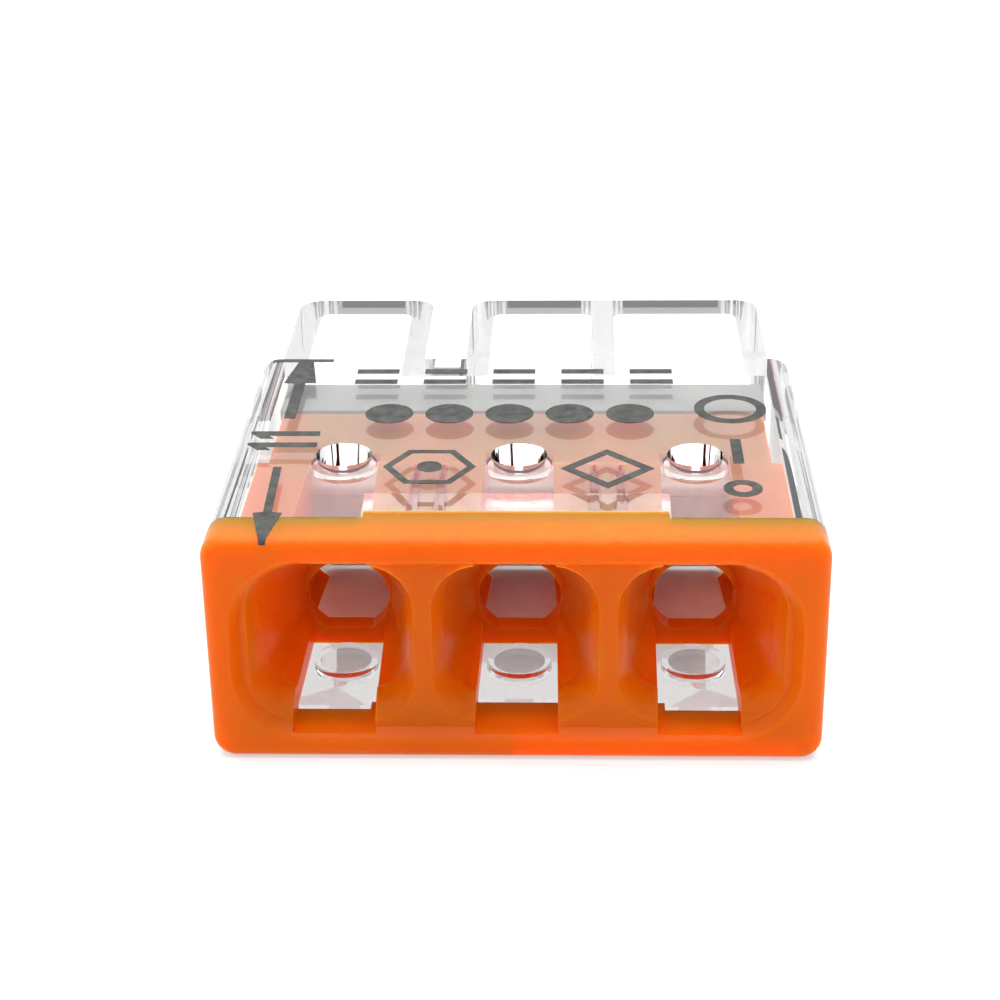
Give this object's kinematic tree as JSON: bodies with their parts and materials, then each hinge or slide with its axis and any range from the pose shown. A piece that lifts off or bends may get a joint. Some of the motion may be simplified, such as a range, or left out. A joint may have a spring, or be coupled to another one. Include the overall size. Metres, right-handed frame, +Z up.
{
  "type": "push-in wire connector",
  "caption": "Compact push-in splicing connector: clear housing, coloured wire guide with funnel entries, busbar, and leaf springs whose tongues clamp stripped wires.",
  "frame": {"origin": "on the surface it stands on, under the centre of the bounding box", "axes": "+Z up through the marked top face, +Y the way wires are pushed in, from the entries at -Y to the wire-end pockets at +Y, +X to the right seen from the entries"},
  "size_m": [0.014, 0.0154, 0.0056],
  "materials": {
    "clear_plastic": "clear moulded polycarbonate, polished",
    "orange_plastic": "moulded polycarbonate, satin gloss",
    "tinned_copper": "matte tin plate on copper",
    "spring_steel": "rolled stainless strip"
  },
  "bodies": {
    "connector": {"housing": "clear_plastic", "wire_guide": "orange_plastic", "busbar": "tinned_copper", "spring_leg_1": "spring_steel", "spring_leg_2": "spring_steel", "spring_leg_3": "spring_steel"},
    "tongue_1": {"clamping_tongue_1": "spring_steel"},
    "tongue_2": {"clamping_tongue_2": "spring_steel"},
    "tongue_3": {"clamping_tongue_3": "spring_steel"}
  },
  "joints": [
    {"name": "tongue_1_flex", "type": "hinge", "parent": "connector", "child": "tongue_1", "pos_m": [-0.0042, -0.0018, 0.004], "axis": [1, 0, 0], "range_deg": [0, 41], "stiffness_Nm_per_rad": 0.05},
    {"name": "tongue_2_flex", "type": "hinge", "parent": "connector", "child": "tongue_2", "pos_m": [0, -0.0018, 0.004], "axis": [1, 0, 0], "range_deg": [0, 41], "stiffness_Nm_per_rad": 0.05},
    {"name": "tongue_3_flex", "type": "hinge", "parent": "connector", "child": "tongue_3", "pos_m": [0.0042, -0.0018, 0.004], "axis": [1, 0, 0], "range_deg": [0, 41], "stiffness_Nm_per_rad": 0.05}
  ]
}
